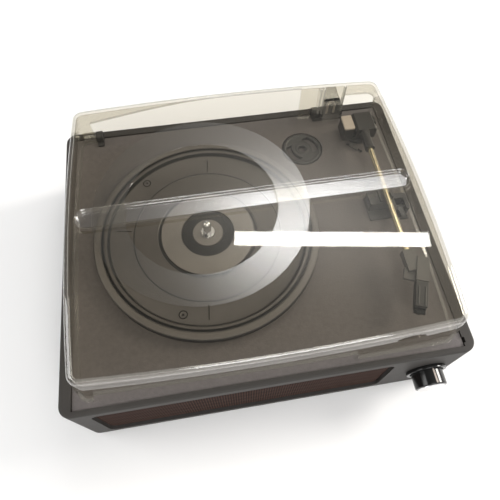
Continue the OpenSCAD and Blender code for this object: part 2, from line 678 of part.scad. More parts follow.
module speed_knob() color([0.5, 0.49, 0.47]) translate([selector[0], selector[1], 0]) rotate(selector_angle) {
    block(-4.5, 4.5, -1.6, 1.6, ledge_z - 3, deck_z + 1.2);
    difference() {
        block(-4.5, 4.5, -2.4, 2.4, deck_z + 0.2, deck_z + 2.4);
        for (x = [-2, 0, 2]) block(x - 0.4, x + 0.4, -3, 3, deck_z + 1.9, deck_z + 3);
    }
    block(-6.5, 6.5, -2.6, 2.6, ledge_z - 4.5, ledge_z - 0.2);
}

// ---------- dust cover and hinges ----------

// Outline of the cover, an amount f of the way from foot to top, drawn t inside:
// four bulged sides between round corners
function mix(f) = [for (i = [0 : 4]) foot_line[i] + f * (top_line[i] - foot_line[i])];
function cover_points(f, t) =
    let (m = mix(f), a = m[0] - t, b = m[1] - t, c = m[2] + t, r = max(9 - t, 3), s = m[3], k = m[4], n = 6)
    concat(
        [for (i = [0 : n]) let (v = 90 * i / n) [a - r + r * cos(v), b - r + r * sin(v)]],
        [for (i = [1 : 9]) let (u = 1 - i / 5) [u * (a - r), b + k * (1 - u * u)]],
        [for (i = [0 : n]) let (v = 90 + 90 * i / n) [-a + r + r * cos(v), b - r + r * sin(v)]],
        [for (i = [1 : 9]) let (u = 1 - i / 5) [-a - s * (1 - u * u), (b + c) / 2 + u * (b - c - 2 * r) / 2]],
        [for (i = [0 : n]) let (v = 180 + 90 * i / n) [-a + r + r * cos(v), c + r + r * sin(v)]],
        [for (i = [1 : 9]) let (u = -1 + i / 5) [u * (a - r), c - s * (1 - u * u)]],
        [for (i = [0 : n]) let (v = 270 + 90 * i / n) [a - r + r * cos(v), c + r + r * sin(v)]],
        [for (i = [1 : 9]) let (u = -1 + i / 5)
            [a + s * (1 - u * u), (b + c) / 2 + u * (b - c - 2 * r) / 2]]);

module cover_slice(f, t, z) translate([0, 0, z]) linear_extrude(0.01) polygon(cover_points(f, t));

// Solid cover, t inside the outer face, with its top edge rounded
module cover_solid(t, z0, z1, r) hull() {
    cover_slice(0, t, z0);
    cover_slice(1 - r / cover_h, t, z1 - r);
    cover_slice(1, t + 0.3 * r, z1 - 0.3 * r);
    cover_slice(1, t + r, z1 - 0.01);
}

// Top edge of the back wall's opening, which climbs from the left to the middle
function arch_z(x) = deck_z + 29 + 13.2 * sin(90 * (x + 130) / 130);

groove_y = 5.5;
groove_half = 139;
module dust_cover() color([0.85, 0.87, 0.88, 0.35]) difference() {
    union() {
        difference() {
            cover_solid(0, cover_z0, cover_z1, edge_r);
            cover_solid(cover_t, cover_z0 - 1, cover_z1 - cover_t, edge_r - 1);
        }
        // underside of the groove
        translate([0, groove_y, cover_z1 - groove_depth - cover_t]) linear_extrude(groove_depth + 1)
            stadium(2 * groove_half + 4, groove_w + 4);
        // raised ring above the platter
        translate([-38.2, 3.8, cover_z1 - 0.5]) difference() {
            cylinder(r = 87.5, h = 0.8, $fn = 128);
            translate([0, 0, -1]) cylinder(r = 61.7, h = 3, $fn = 128);
        }
        // ribs at the right hinge, and the boss of the left one
        for (x = rib_x) translate([x, 0, 0]) rotate([90, 0, 90])
            linear_extrude(1.6) polygon([[117, hinge_z + 6], [123.6, hinge_z + 6], [122.4, cover_z1 - 1.5],
                                         [117, cover_z1 - 1.5]]);
        bar_x(knuckle_r, -143.5, -132.2, hinge_y, hinge_z);
    }
    translate([0, groove_y, cover_z1 - groove_depth]) linear_extrude(groove_depth + 2)
        stadium(2 * groove_half, groove_w);
    // slot in the front wall, so that a large record can pass under it
    translate([0, -115, 0]) rotate([90, 0, 0]) linear_extrude(25)
        polygon([[-136.7, cover_z0 - 1], [66.7, cover_z0 - 1], [62.8, deck_z + 16.5],
                 [-132.5, deck_z + 16.5]]);
    // the back wall's wide opening, also for a large record
    translate([0, 140, 0]) rotate([90, 0, 0]) linear_extrude(32)
        polygon(concat([[70.5, cover_z0 - 8], [70.5, arch_z(0)]],
                       [for (x = [0 : -12 : -120]) [x, arch_z(x)]],
                       [[-132.2, arch_z(-132.2)], [-132.2, cover_z0 - 8]]));
    // cuts for the right hinge: below all of it, behind its leaf, and on its right
    block(base_x[0], 145, 108, 140, cover_z0 - 1, hinge_z + 5.9);
    block(right_x - leaf_half, right_x + leaf_half, 115, 140, cover_z0 - 1, leaf_top);
    block(115, 145, 115, 140, cover_z0 - 1, leaf_top + 5);
    bar_x(pin_r + 0.06, -150, -132, hinge_y, hinge_z);
}

// Black leaf: a knuckle, and a plate that fills the slot in the cover's back wall
module hinge_leaf() color([0.07, 0.07, 0.07]) difference() {
    union() {
        bar_x(knuckle_r, right_x - leaf_half, right_x + leaf_half, hinge_y, hinge_z);
        block(right_x - leaf_half, right_x + leaf_half, 121, 124.5, hinge_z, leaf_top);
        // arch-shaped rib on the inner face
        translate([right_x, 121.2, hinge_z + 2]) rotate([90, 0, 0]) linear_extrude(1) difference() {
            union() {
                translate([-4.6, 0]) square([9.2, 11]);
                translate([0, 11]) circle(r = 4.6);
            }
            translate([-2.6, -1]) square([5.2, 12]);
            translate([0, 11]) circle(r = 2.6);
        }
    }
    bar_x(pin_r + 0.06, right_x - 20, right_x + 20, hinge_y, hinge_z);
}

module hinge_base() color([0.06, 0.06, 0.06]) difference() {
    union() {
        round_block(base_x[0], base_x[1], 118.5, 127.4, deck_z, deck_z + 2, 1.5);
        for (x = [[base_x[0], right_x - leaf_half - 0.6], [right_x + leaf_half + 0.6, base_x[1]]]) {
            bar_x(knuckle_r, x[0], x[1], hinge_y, hinge_z);
            block(x[0], x[1], hinge_y - knuckle_r, hinge_y + 1.4, deck_z, hinge_z);
        }
    }
    bar_x(pin_r + 0.02, 80, 130, hinge_y, hinge_z);
    bar_x(knuckle_r + 0.3, right_x - leaf_half - 0.6, right_x + leaf_half + 0.6, hinge_y, hinge_z);
}

module hinge_lug() color([0.06, 0.06, 0.06]) difference() {
    union() {
        round_block(-131.6, -125.6, 117, 127.4, deck_z, deck_z + 2, 1.5);
        bar_x(knuckle_r, -131.6, -125.6, hinge_y, hinge_z);
        block(-131.6, -125.6, hinge_y - knuckle_r, hinge_y + 1.4, deck_z, hinge_z);
    }
    bar_x(pin_r + 0.02, -140, -110, hinge_y, hinge_z);
}

module hinge_pins() color([0.75, 0.75, 0.76]) {
    bar_x(pin_r, base_x[0] + 0.3, base_x[1] - 0.3, hinge_y, hinge_z);
    bar_x(pin_r, -143, -126, hinge_y, hinge_z);
}

cabinet();
bottom_plate();
rubber_feet();
bottom_screws();
speaker_baffle();
front_grille();
speaker_frame(speaker_x[0]);  // left_speaker_frame
speaker_cone(speaker_x[0]);  // left_speaker_cone
speaker_magnet(speaker_x[0]);  // left_speaker_magnet
speaker_frame(speaker_x[1]);  // right_speaker_frame
speaker_cone(speaker_x[1]);  // right_speaker_cone
speaker_magnet(speaker_x[1]);  // right_speaker_magnet
speaker_screws();
knob_bezel();
volume_knob();
knob_pointer();
knob_cap();
knob_shaft();
volume_pot();
amplifier_board();
rear_jack_panel();
rca_jacks();
aux_jack();
dc_jack();
deck_plate();
deck_screws();
spindle();
spindle_nut();
thrust_washer();
platter();
platter_bush();
spindle_clip();
drive_belt();
motor();
motor_bracket();
motor_grommets();
motor_shaft();
motor_pulley();
adapter_45();
tonearm_base();
tonearm_housing();
pivot_cap();
pivot_shaft();
pitch_axle();
tonearm_carrier();
tonearm_sleeve();
tonearm_tube();
counterweight();
headshell();
cartridge();
stylus();
arm_rest();
cue_lever();
lift_bar();
speed_knob();
dust_cover();
hinge_leaf();
hinge_base();
hinge_lug();
hinge_pins();
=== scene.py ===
"""Turntable record player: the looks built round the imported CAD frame. Metres, +X right, +Y back, +Z up."""
import json
import math
import bpy
import bmesh
from mathutils import Matrix, Vector


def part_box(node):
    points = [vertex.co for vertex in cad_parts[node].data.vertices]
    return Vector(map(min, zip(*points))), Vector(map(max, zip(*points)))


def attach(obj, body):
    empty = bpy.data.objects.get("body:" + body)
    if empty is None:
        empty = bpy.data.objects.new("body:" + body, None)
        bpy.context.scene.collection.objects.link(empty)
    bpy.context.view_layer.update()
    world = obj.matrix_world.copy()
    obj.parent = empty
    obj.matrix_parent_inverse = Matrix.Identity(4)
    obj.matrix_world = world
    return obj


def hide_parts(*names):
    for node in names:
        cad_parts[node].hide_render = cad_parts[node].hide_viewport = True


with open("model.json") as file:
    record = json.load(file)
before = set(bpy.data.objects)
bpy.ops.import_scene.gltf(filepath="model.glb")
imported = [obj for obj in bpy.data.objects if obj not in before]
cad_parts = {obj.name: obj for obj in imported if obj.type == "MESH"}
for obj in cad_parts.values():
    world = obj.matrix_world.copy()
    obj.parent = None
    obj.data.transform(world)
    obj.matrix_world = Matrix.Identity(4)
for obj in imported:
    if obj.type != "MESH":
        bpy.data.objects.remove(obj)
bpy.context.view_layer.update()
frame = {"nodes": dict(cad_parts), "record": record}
NODES = frame["nodes"]
MM = 0.001


SPINDLE = Vector([sum(v) / 2 for v in zip(*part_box("spindle"))])
CLOTH_BACK, CLOTH_FRONT = -132.5, -133.7  # depth of the grille cloth, mm

# ---------------------------------------------------------------- materials


class Mat:
    """A Principled material with a few procedural helpers."""

    def __init__(self, name, colour, rough=0.5, metal=0.0, spec=0.5):
        self.m = bpy.data.materials.new(name)
        self.m.use_nodes = True
        self.t = self.m.node_tree
        self.b = self.t.nodes["Principled BSDF"]
        self.set("Base Color", (*colour, 1))
        self.set("Roughness", rough)
        self.set("Metallic", metal)
        self.set("Specular IOR Level", spec)
        self._co = None

    def set(self, key, value):
        self.b.inputs[key].default_value = value

    def node(self, kind, **values):
        n = self.t.nodes.new(kind)
        for k, v in values.items():
            if k.startswith("in_"):
                n.inputs[k[3:].replace("_", " ")].default_value = v
            else:
                setattr(n, k, v)
        return n

    def link(self, a, b):
        self.t.links.new(a, b)

    def co(self):
        if self._co is None:
            self._co = self.node("ShaderNodeTexCoord").outputs["Object"]
        return self._co

    def xyz(self):
        n = self.node("ShaderNodeSeparateXYZ")
        self.link(self.co(), n.inputs[0])
        return n.outputs["X"], n.outputs["Y"], n.outputs["Z"]

    def noise(self, scale, detail=4.0):
        n = self.node("ShaderNodeTexNoise", in_Scale=scale, in_Detail=detail, in_Roughness=0.55)
        self.link(self.co(), n.inputs["Vector"])
        return n.outputs["Fac"]

    def cells(self, scale):
        n = self.node("ShaderNodeTexVoronoi", in_Scale=scale)
        self.link(self.co(), n.inputs["Vector"])
        return n.outputs["Distance"]

    def math(self, op, a, b=0.0, c=0.0):
        n = self.node("ShaderNodeMath", operation=op)
        for i, v in enumerate((a, b, c)):
            if isinstance(v, (int, float)):
                n.inputs[i].default_value = v
            else:
                self.link(v, n.inputs[i])
        return n.outputs[0]

    def span(self, fac, lo, hi):
        """fac 0..1 mapped to lo..hi"""
        n = self.node("ShaderNodeMapRange")
        self.link(fac, n.inputs["Value"])
        n.inputs["To Min"].default_value = lo
        n.inputs["To Max"].default_value = hi
        return n.outputs["Result"]

    def mix(self, fac, a, b):
        n = self.node("ShaderNodeMix", data_type="RGBA")
        self.link(fac, n.inputs[0])
        for i, v in ((6, a), (7, b)):
            if isinstance(v, tuple):
                n.inputs[i].default_value = (*v, 1)
            else:
                self.link(v, n.inputs[i])
        return n.outputs[2]

    def mottle(self, a, b, scale, detail=4.0):
        """Base colour wandering between two tones"""
        self.link(self.mix(self.noise(scale, detail), a, b), self.b.inputs["Base Color"])

    def rough(self, lo, hi, scale):
        """Roughness wandering from lo to hi"""
        self.link(self.span(self.noise(scale), lo, hi), self.b.inputs["Roughness"])

    def bump(self, height, distance, strength=1.0):
        n = self.node("ShaderNodeBump", in_Strength=strength, in_Distance=distance)
        self.link(height, n.inputs["Height"])
        self.link(n.outputs["Normal"], self.b.inputs["Normal"])


def plastic(name, dark, light, rough=(0.38, 0.5), grain=900, depth=0.00006):
    m = Mat(name, dark)
    m.mottle(dark, light, 35)
    m.rough(rough[0], rough[1], 120)
    m.bump(m.noise(grain, 3), depth, 0.6)
    return m.m


def metal(name, a, b, rough=(0.22, 0.34)):
    m = Mat(name, a, metal=1.0)
    m.mottle(a, b, 60)
    m.rough(rough[0], rough[1], 300)
    return m.m


def make_skin():
    """Leatherette over board: near black, fine grained"""
    m = Mat("cabinet_skin", (0.045, 0.042, 0.038), spec=0.3)
    m.mottle((0.036, 0.033, 0.030), (0.046, 0.042, 0.039), 18, 6)
    m.rough(0.55, 0.66, 60)
    h = m.math("ADD", m.math("MULTIPLY", m.cells(900), 0.7), m.math("MULTIPLY", m.noise(450, 6), 0.6))
    m.bump(h, 0.00010, 0.4)
    return m.m


def make_deck():
    """Moulded deck with a fine pebble grain"""
    m = Mat("deck_grain", (0.08, 0.071, 0.069), spec=0.4)
    m.mottle((0.086, 0.076, 0.075), (0.138, 0.124, 0.121), 300, 5)
    m.rough(0.50, 0.62, 90)
    h = m.math("ADD", m.math("MULTIPLY", m.cells(620), 1.0), m.math("MULTIPLY", m.noise(600, 4), 0.5))
    m.bump(h, 0.00016, 0.6)
    return m.m


# bands of the platter's top by their inner and outer radii, mm
PALE_BANDS = ((5.0, 13.2), (23.4, 40.4))
RIM_BANDS = ((92.4, 97.0),)
# near-black bands: painted shade in the platter's grooves
GROOVE_SHADE_BANDS = ((13.4, 23.0), (40.9, 43.4), (63.7, 64.9), (84.6, 86.6), (89.0, 91.4), (97.6, 99.0))
TURNED_PITCH = 1.1


def make_platter():
    """Satin moulding: a turned gloss in rings, a paler hub disc, a slightly paler rim, and painted shade,
    near black, in bands over the grooves
    """
    m = Mat("platter_satin", (0.06, 0.057, 0.054), spec=0.6)
    x, y, _ = m.xyz()
    dx, dy = m.math("SUBTRACT", x, SPINDLE.x), m.math("SUBTRACT", y, SPINDLE.y)
    r = m.math("SQRT", m.math("ADD", m.math("MULTIPLY", dx, dx), m.math("MULTIPLY", dy, dy)))

    def within(bands):
        """1 inside any of the bands, 0 elsewhere"""
        total = 0.0
        for inner, outer in bands:
            past, short = m.math("GREATER_THAN", r, inner * MM), m.math("LESS_THAN", r, outer * MM)
            total = m.math("MULTIPLY_ADD", past, short, total)
        return total

    worn = m.noise(90, 5)
    dark = m.mix(worn, (0.072, 0.065, 0.062), (0.096, 0.087, 0.083))
    pale = m.mix(worn, (0.170, 0.157, 0.150), (0.210, 0.196, 0.186))
    rim = m.mix(worn, (0.110, 0.100, 0.095), (0.135, 0.124, 0.118))
    raised = within(PALE_BANDS)
    # painted shade: near black over the groove bands
    black = m.mix(worn, (0.008, 0.008, 0.008), (0.013, 0.012, 0.012))
    tone = m.mix(within(RIM_BANDS), m.mix(raised, dark, pale), rim)
    tone = m.mix(within(GROOVE_SHADE_BANDS), tone, black)
    m.link(tone, m.b.inputs["Base Color"])
    rings = m.math("SINE", m.math("MULTIPLY", r, 2 * math.pi / (TURNED_PITCH * MM)))
    gloss = m.span(m.math("MULTIPLY_ADD", rings, 0.5, 0.5), 0.36, 0.46)
    m.link(m.math("SUBTRACT", gloss, m.math("MULTIPLY", raised, 0.14)), m.b.inputs["Roughness"])
    m.bump(m.math("ADD", m.noise(800, 3), m.math("MULTIPLY", rings, 0.15)), 0.00006, 0.4)
    return m.m


def make_thread():
    """Brown thread of the grille cloth, with painted shade darkening it down between the crossings"""
    m = Mat("grille_cloth", (0.10, 0.05, 0.035), rough=0.85, spec=0.2)
    tone = m.mix(m.noise(900, 3), (0.085, 0.042, 0.031), (0.150, 0.078, 0.058))
    _, y, _ = m.xyz()
    relief = (CLOTH_FRONT - CLOTH_BACK) * MM
    depth = m.span(m.math("DIVIDE", m.math("SUBTRACT", y, CLOTH_BACK * MM), relief), 0, 1)
    # painted shade: the thread fades to near black towards the back of the relief, down between the crossings
    m.link(m.mix(m.math("POWER", depth, 3.0), (0.004, 0.003, 0.003), tone), m.b.inputs["Base Color"])
    m.bump(m.noise(2500, 3), 0.00008, 0.5)
    return m.m


def make_sheet(name, tint, base, gain, power, rough=0.03, haze=0.0):
    """Clear acrylic: what is behind shows through, under a mirror share that grows at a slant.
    haze is the share of a matt white surface mixed in, as on a frosted face or a bright edge."""
    m = Mat(name, (1, 1, 1))
    out = m.t.nodes["Material Output"]
    m.t.nodes.remove(m.b)
    see = m.node("ShaderNodeBsdfTransparent")
    see.inputs["Color"].default_value = (*tint, 1)
    shine = m.node("ShaderNodeBsdfGlossy")
    shine.inputs["Color"].default_value = (1, 1, 1, 1)
    shine.inputs["Roughness"].default_value = rough
    shine.distribution = "BECKMANN"
    slant = m.node("ShaderNodeLayerWeight", in_Blend=0.5).outputs["Facing"]
    share = m.math("MULTIPLY_ADD", m.math("POWER", slant, power), gain, base)
    clear = m.node("ShaderNodeMixShader")
    m.link(share, clear.inputs[0])
    m.link(see.outputs[0], clear.inputs[1])
    m.link(shine.outputs[0], clear.inputs[2])
    last = clear
    if haze:
        matt = m.node("ShaderNodeBsdfDiffuse")
        matt.inputs["Color"].default_value = (0.93, 0.93, 0.91, 1)
        last = m.node("ShaderNodeMixShader")
        last.inputs[0].default_value = haze
        m.link(clear.outputs[0], last.inputs[1])
        m.link(matt.outputs[0], last.inputs[2])
    m.link(last.outputs[0], out.inputs["Surface"])
    return m.m


CLEAR_TINT = (0.91, 0.895, 0.855)
CLEAR = make_sheet("acrylic_clear", CLEAR_TINT, 0.03, 0.90, 5)
CLEAR_ROUND = make_sheet("acrylic_rounding", CLEAR_TINT, 0.10, 0.85, 3, haze=0.04)
CLEAR_EDGE = make_sheet("acrylic_edge", (0.90, 0.90, 0.88), 0.22, 0.7, 2, rough=0.12, haze=0.08)
FROST_RING = make_sheet("acrylic_frost", (0.95, 0.945, 0.93), 0.14, 0.5, 3, rough=0.26)
FROST_GROOVE = make_sheet("acrylic_trough", (0.95, 0.945, 0.93), 0.28, 0.5, 3, rough=0.26)

MATERIALS = {
    "cabinet_skin": make_skin(),
    "deck_grain": make_deck(),
    "dark_plastic": plastic("dark_plastic", (0.026, 0.025, 0.024), (0.036, 0.034, 0.033)),
    "black_gloss": plastic("black_gloss", (0.006, 0.006, 0.006), (0.010, 0.010, 0.010), (0.12, 0.2),
                           depth=0.00001),
    "pale_plastic": plastic("pale_plastic", (0.42, 0.37, 0.32), (0.47, 0.41, 0.36)),
    "grille_cloth": make_thread(),
    "steel": metal("steel", (0.50, 0.50, 0.51), (0.62, 0.62, 0.63)),
    "chrome": metal("chrome", (0.75, 0.75, 0.76), (0.82, 0.82, 0.83), (0.05, 0.12)),
    "gold_tube": metal("gold_tube", (0.78, 0.68, 0.46), (0.85, 0.76, 0.54), (0.2, 0.3)),
    "brass": metal("brass", (0.62, 0.45, 0.18), (0.72, 0.53, 0.23)),
    "rubber": plastic("rubber", (0.012, 0.012, 0.012), (0.02, 0.02, 0.02), (0.7, 0.85)),
    "board": plastic("board", (0.02, 0.12, 0.05), (0.03, 0.16, 0.07)),
    "fibreboard": plastic("fibreboard", (0.22, 0.14, 0.08), (0.30, 0.20, 0.12), (0.7, 0.85)),
    "magnet": plastic("magnet", (0.06, 0.06, 0.065), (0.08, 0.08, 0.085), (0.5, 0.65)),
    "cone_paper": plastic("cone_paper", (0.015, 0.015, 0.015), (0.03, 0.03, 0.03), (0.8, 0.9)),
    "clear_cover": CLEAR,
    "headshell_grey": plastic("headshell_grey", (0.085, 0.08, 0.075), (0.11, 0.105, 0.10)),
    "white_washer": plastic("white_washer", (0.75, 0.74, 0.7), (0.82, 0.81, 0.78)),
}


def dress(o, slot):
    """Give a piece the material of a record slot"""
    o.data.materials.clear()
    o.data.materials.append(MATERIALS[slot])


def soften(o, width=0.0, angle=38):
    """Weld, round the sharp edges by width (mm) and shade smooth, by modifiers only"""
    o.modifiers.new("weld", "WELD").merge_threshold = 1e-6
    for p in o.data.polygons:
        p.use_smooth = True
    if width:
        b = o.modifiers.new("round", "BEVEL")
        b.width = width * MM
        b.segments = 2
        b.limit_method = "ANGLE"
        b.angle_limit = math.radians(angle)
        b.use_clamp_overlap = True
    e = o.modifiers.new("edges", "EDGE_SPLIT")
    e.split_angle = math.radians(46 if width else 30)
    if width:
        w = o.modifiers.new("flats", "WEIGHTED_NORMAL")
        w.keep_sharp = True


# rounding of the sharp edges, mm
EDGE_ROUNDING = {
    "cabinet": 0.5, "deck_plate": 0.3, "rear_jack_panel": 0.4, "adapter_45": 0.25,
    "knob_bezel": 0.5, "volume_knob": 0.4, "knob_cap": 0.2, "speed_knob": 0.3,
    "tonearm_base": 0.3, "tonearm_housing": 0.5, "pivot_cap": 0.2, "tonearm_carrier": 0.5,
    "tonearm_sleeve": 0.3, "headshell": 0.5, "cartridge": 0.5, "stylus": 0.25,
    "arm_rest": 0.4, "cue_lever": 0.3, "lift_bar": 0.2,
    "hinge_leaf": 0.4, "hinge_base": 0.4, "hinge_lug": 0.4,
}
for row in frame["record"]["subparts"]:
    dress(NODES[row["node"]], row["material_slot"])
    soften(NODES[row["node"]], EDGE_ROUNDING.get(row["node"], 0))
NODES["platter"].data.materials[0] = make_platter()

# ---------------------------------------------------------------- mesh tools: millimetres in, metres out


class Shape:
    """A mesh under construction"""

    def __init__(self):
        self.bm = bmesh.new()

    def loft(self, loops, index=lambda row: 0, around=False):
        """Skin a run of loops with equal counts, and cap both ends or, with around, join them"""
        rows = [[self.bm.verts.new(Vector(p) * MM) for p in loop] for loop in loops]
        count = len(rows[0])
        for k in range(len(rows) if around else len(rows) - 1):
            a, b = rows[k], rows[(k + 1) % len(rows)]
            for i in range(count):
                j = (i + 1) % count
                self.bm.faces.new((a[i], a[j], b[j], b[i])).material_index = index(k)
        if not around:
            self.bm.faces.new(rows[0][::-1])
            self.bm.faces.new(rows[-1])
        return self

    def prism(self, outline, axis, lo, hi, index=0):
        """A flat outline pushed along an axis from lo to hi"""
        def at(p, h):
            return {"x": (h, *p), "y": (p[0], h, p[1]), "z": (*p, h)}[axis]
        first = len(self.bm.faces)
        self.loft([[at(p, lo) for p in outline], [at(p, hi) for p in outline]])
        self.bm.faces.ensure_lookup_table()
        for f in self.bm.faces[first:]:
            f.material_index = index
        return self

    def make(self, name, *materials):
        bmesh.ops.recalc_face_normals(self.bm, faces=self.bm.faces)
        mesh = bpy.data.meshes.new(name)
        self.bm.to_mesh(mesh)
        self.bm.free()
        o = bpy.data.objects.new(name, mesh)
        bpy.context.scene.collection.objects.link(o)
        for m in materials:
            mesh.materials.append(m)
        return o


def box_outline(x0, x1, y0, y1):
    return [(x0, y0), (x1, y0), (x1, y1), (x0, y1)]


def arc(cx, cy, r, start, end, steps):
    return [(cx + r * math.cos(math.radians(start + (end - start) * i / steps)),
             cy + r * math.sin(math.radians(start + (end - start) * i / steps))) for i in range(steps + 1)]


def stadium(cx, cy, length, width, steps=16):
    """A bar along X with round ends"""
    h = (length - width) / 2
    return arc(cx + h, cy, width / 2, -90, 90, steps) + arc(cx - h, cy, width / 2, 90, 270, steps)


def bake(o):
    """Apply a piece's modifiers"""
    graph = bpy.context.evaluated_depsgraph_get()
    mesh = bpy.data.meshes.new_from_object(o.evaluated_get(graph))
    o.modifiers.clear()
    o.data = mesh


def combine(o, tool, operation):
    """Add a tool to a piece or cut it out, and drop the tool"""
    m = o.modifiers.new(operation, "BOOLEAN")
    m.object = tool
    m.operation = operation
    m.solver = "EXACT"
    m.material_mode = "TRANSFER"
    bake(o)
    bpy.data.objects.remove(tool)


# ---------------------------------------------------------------- dust cover

COVER_FOOT_Z, COVER_TOP_Z, COVER_SHEET, COVER_ROUND = 84.7, 130.8, 2.5, 3.5
# half width, back, front, bulge of the sides, bulge of the front and back
COVER_FOOT = (148.3, 125.0, -126.5, 3.5, 1.5)
COVER_TOP = (143.0, 121.6, -124.2, 4.2, 4.2)
COVER_CORNER = 9.0
GROOVE_Y, GROOVE_HALF, GROOVE_W, GROOVE_DEPTH = 5.5, 139.0, 18.0, 4.0
HINGE_Y, HINGE_Z = 126.0, 90.5
HINGE_X, LEAF_HALF = 102.6, 8.6
HINGE_RIBS, HINGE_LEFT = (88, 91.4, 111.8), 85
DECK_Z = 84.5
LEAF_TOP = DECK_Z + 24


def cover_loop(z, rise, inset, corner_steps=8, side_steps=12):
    """Outline of the cover at height z: rise is 0 at the foot and 1 at the top, drawn inset inside"""
    half, back, front, bulge, bow = (a + rise * (b - a) for a, b in zip(COVER_FOOT, COVER_TOP))
    a, b, c = half - inset, back - inset, front + inset
    r = max(COVER_CORNER - inset, 3)
    us = [1 - 2 * i / side_steps for i in range(1, side_steps)]
    mid, reach = (b + c) / 2, (b - c - 2 * r) / 2
    pts = arc(a - r, b - r, r, 0, 90, corner_steps)
    pts += [(u * (a - r), b + bow * (1 - u * u)) for u in us]
    pts += arc(-a + r, b - r, r, 90, 180, corner_steps)
    pts += [(-a - bulge * (1 - u * u), mid + u * reach) for u in us]
    pts += arc(-a + r, c + r, r, 180, 270, corner_steps)
    pts += [(-u * (a - r), c - bow * (1 - u * u)) for u in us]
    pts += arc(a - r, c + r, r, 270, 360, corner_steps)
    pts += [(a + bulge * (1 - u * u), mid - u * reach) for u in us]
    return [(x, y, z) for x, y in pts]


def cover_wall(inset, top, rounding, steps):
    """Loops from the foot up round the top edge"""
    share = 1 - COVER_ROUND / (COVER_TOP_Z - COVER_FOOT_Z)
    bottom_of_round = top - rounding
    loops = []
    for f in (0, 0.33, 0.66):
        loops.append(cover_loop(COVER_FOOT_Z + f * (bottom_of_round - COVER_FOOT_Z), f * share, inset))
    for i in range(steps + 1):
        t = math.radians(90 * i / steps)
        loops.append(cover_loop(bottom_of_round + rounding * math.sin(t), share + (1 - share) * math.sin(t),
                                inset + rounding * (1 - math.cos(t))))
    return loops


def back_opening_z(x):
    """Top edge of the back wall's opening, which climbs from the left to the middle"""
    return DECK_Z + 29 + 13.2 * math.sin(math.radians(90 * (x + 130) / 130))


def make_cover():
    inner = cover_wall(COVER_SHEET, COVER_TOP_Z - COVER_SHEET, 1.6, 3)
    outer = cover_wall(0, COVER_TOP_Z, COVER_ROUND, 6)
    loops = inner[::-1] + outer
    foot = len(inner) - 1
    rounding = len(inner) + 3
    cover = Shape().loft(loops, lambda k: 2 if k == foot else 1 if k >= rounding or k < 3 else 0)
    cover = cover.make("cover_shell", CLEAR, CLEAR_ROUND, CLEAR_EDGE)

    boss = Shape().prism(stadium(0, GROOVE_Y, 2 * GROOVE_HALF + 4, GROOVE_W + 4), "z",
                         COVER_TOP_Z - GROOVE_DEPTH - COVER_SHEET, COVER_TOP_Z - 0.8)
    combine(cover, boss.make("boss", CLEAR), "UNION")
    rib_z, rib_top = HINGE_Z + 6, COVER_TOP_Z - 1.5
    for x in HINGE_RIBS:
        rib = Shape().prism([(117, rib_z), (123.6, rib_z), (122.4, rib_top), (117, rib_top)], "x", x, x + 1.6)
        combine(cover, rib.make("rib", CLEAR_EDGE), "UNION")
    knuckle = Shape().prism(arc(HINGE_Y, HINGE_Z, 4.5, 0, 352.5, 47), "x", -143.5, -132.2)
    combine(cover, knuckle.make("knuckle", CLEAR_ROUND), "UNION")

    # the groove, with a rounded floor
    drop = COVER_TOP_Z - GROOVE_DEPTH
    loops = []
    for i in range(5):
        t = math.radians(90 * i / 4)
        inset = 2.5 * (1 - math.sin(t))
        loops.append([(x, y, drop + 2.5 * (1 - math.cos(t)))
                      for x, y in stadium(0, GROOVE_Y, 2 * (GROOVE_HALF - inset), GROOVE_W - 2 * inset)])
    loops.append([(x, y, COVER_TOP_Z + 3) for x, y in stadium(0, GROOVE_Y, 2 * GROOVE_HALF, GROOVE_W)])
    groove = Shape().loft(loops, lambda k: 1 if k < 4 else 0)
    groove = groove.make("groove", FROST_GROOVE, CLEAR_ROUND)
    combine(cover, groove, "DIFFERENCE")

    # slots in the front and back walls
    slot_z = DECK_Z + 16.5
    climb = [(x, back_opening_z(x)) for x in (*range(0, -121, -12), -132.2)]
    cuts = [
        ([(-136.7, 83.7), (66.7, 83.7), (62.8, slot_z), (-132.5, slot_z)], -140, -115),
        ([(70.5, 76.7), (70.5, back_opening_z(0)), *climb, (-132.2, 76.7)], 108, 140),
        (box_outline(HINGE_LEFT, 145, 83.7, HINGE_Z + 5.9), 108, 140),
        (box_outline(HINGE_X - LEAF_HALF, HINGE_X + LEAF_HALF, 83.7, LEAF_TOP), 115, 140),
        (box_outline(115, 145, 83.7, LEAF_TOP + 5), 115, 140),
    ]
    for outline, y0, y1 in cuts:
        combine(cover, Shape().prism(outline, "y", y0, y1).make("slot", CLEAR_EDGE), "DIFFERENCE")
    bore = Shape().prism(arc(HINGE_Y, HINGE_Z, 1.56, 0, 345, 23), "x", -150, -132)
    combine(cover, bore.make("bore", CLEAR_EDGE), "DIFFERENCE")

    # level faces stay flat, so that what they mirror isn't bent
    cover.data.set_sharp_from_angle(angle=math.radians(32))
    for p in cover.data.polygons:
        p.use_smooth = abs(p.normal.z) < 0.999
    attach(cover, "cover")
    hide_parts("dust_cover")


# middle and radii of the frosted ring
RING_X, RING_Y, RING_INNER, RING_OUTER = -38.2, 3.8, 61.7, 87.5


def make_ring():
    """Frosted ring on the lid, above the platter"""
    lo_z, hi_z, soft = COVER_TOP_Z + 0.02, COVER_TOP_Z + 0.28, 0.12
    profile = [(RING_INNER, lo_z), (RING_OUTER, lo_z), (RING_OUTER, hi_z - soft), (RING_OUTER - soft, hi_z),
               (RING_INNER + soft, hi_z), (RING_INNER, hi_z - soft)]
    steps = 128
    turns = [2 * math.pi * i / steps for i in range(steps)]
    loops = [[(RING_X + r * math.cos(t), RING_Y + r * math.sin(t), z) for t in turns] for r, z in profile]
    ring = Shape().loft(loops, lambda k: 0 if k == 3 else 1, around=True)
    ring = ring.make("cover_frosted_ring", FROST_RING, CLEAR)
    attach(ring, "cover")


